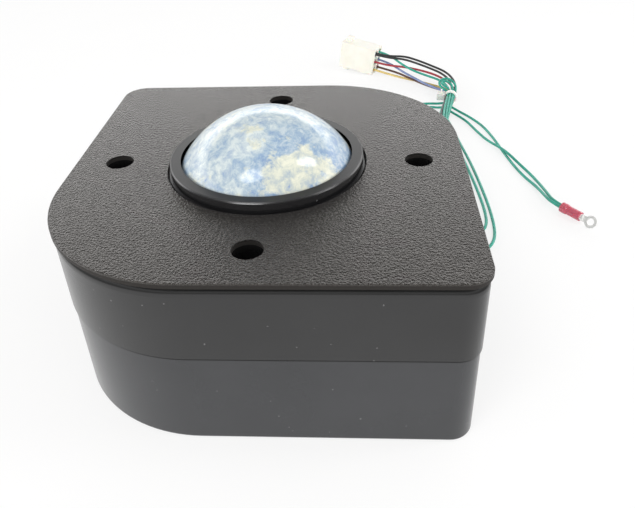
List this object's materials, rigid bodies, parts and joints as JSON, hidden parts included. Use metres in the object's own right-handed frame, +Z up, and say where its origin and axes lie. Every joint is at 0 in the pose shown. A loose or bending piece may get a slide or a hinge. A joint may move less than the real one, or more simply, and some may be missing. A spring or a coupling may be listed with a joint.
{
  "type": "arcade trackball",
  "caption": "Arcade trackball: a marbled ball on sensing rollers in a black two-half housing under a textured mounting plate, with a wiring harness.",
  "frame": {"origin": "on the floor under the ball's centre, at the middle of the housing's base", "axes": "+X to the right and +Y to the back as pictured, +Z up out of the mounting plate"},
  "size_m": [0.2314, 0.3673, 0.0913],
  "materials": {
    "plate_coat": "black textured powder coat",
    "black_housing": "semi-gloss moulded black",
    "marbled_ball": "polished, marbled blue, white and cream",
    "roller_steel": "ground",
    "bearing_steel": "ground",
    "wheel_plastic": "moulded black",
    "circuit_board": "green resist over glass laminate",
    "sensor_plastic": "moulded black",
    "spring_steel": "rolled strip",
    "screw_zinc": "zinc plated",
    "grommet_rubber": "matt black",
    "black_wire": "extruded vinyl",
    "green_wire": "extruded vinyl",
    "blue_wire": "extruded vinyl",
    "brown_wire": "extruded vinyl",
    "yellow_wire": "extruded vinyl",
    "red_wire": "extruded vinyl",
    "tie_nylon": "natural nylon",
    "connector_nylon": "natural nylon",
    "contact_brass": "tin washed",
    "sleeve_vinyl": "clear red vinyl",
    "terminal_tin": "tin plated"
  },
  "bodies": {
    "housing": {"mounting_plate": "plate_coat", "upper_housing": "black_housing", "lower_housing": "black_housing", "bearing_outer_rings": "bearing_steel", "x_encoder_board": "circuit_board", "y_encoder_board": "circuit_board", "x_light_sensors": "sensor_plastic", "y_light_sensors": "sensor_plastic", "ground_springs": "spring_steel", "case_screws": "screw_zinc", "harness_grommet": "grommet_rubber", "x_board_lead": "black_wire", "y_board_lead": "black_wire", "harness_bundle": "green_wire", "blue_wire": "blue_wire", "brown_wire": "brown_wire", "yellow_wire": "yellow_wire", "red_wire": "red_wire", "green_wire": "green_wire", "near_black_wire": "black_wire", "far_black_wire": "black_wire", "outer_ground_wire": "green_wire", "inner_ground_wire": "green_wire", "long_slack_loop": "green_wire", "short_slack_loop": "green_wire", "outer_slack_curl": "green_wire", "inner_slack_curl": "green_wire", "cable_tie": "tie_nylon", "connector_housing": "connector_nylon", "connector_contacts": "contact_brass", "terminal_sleeve": "sleeve_vinyl", "ring_terminal": "terminal_tin"},
    "ball": {"ball": "marbled_ball"},
    "x_roller": {"x_roller": "roller_steel", "x_bearing_inner_rings": "bearing_steel", "x_encoder_wheel": "wheel_plastic"},
    "y_roller": {"y_roller": "roller_steel", "y_bearing_inner_rings": "bearing_steel", "y_encoder_wheel": "wheel_plastic"},
    "idler": {"idler_roller": "roller_steel", "idler_bearing_inner_rings": "bearing_steel"}
  },
  "joints": [
    {"name": "ball_roll", "type": "hinge", "parent": "housing", "child": "ball", "pos_m": [0, 0, 0.0532], "axis": [0.7071, -0.7071, 0], "continuous": true},
    {"name": "x_roller_spin", "type": "hinge", "parent": "housing", "child": "x_roller", "pos_m": [0.04227, 0, 0.0385], "axis": [0, 1, 0], "continuous": true},
    {"name": "y_roller_spin", "type": "hinge", "parent": "housing", "child": "y_roller", "pos_m": [0, 0.04227, 0.0385], "axis": [1, 0, 0], "continuous": true},
    {"name": "idler_spin", "type": "hinge", "parent": "housing", "child": "idler", "pos_m": [-0.02989, -0.02989, 0.0385], "axis": [0.7071, -0.7071, 0], "continuous": true}
  ],
  "couplings": [
    {"joint": "x_roller_spin", "follows": "ball_roll", "ratio": 4.2426},
    {"joint": "y_roller_spin", "follows": "ball_roll", "ratio": -4.2426},
    {"joint": "idler_spin", "follows": "ball_roll", "ratio": -6}
  ]
}
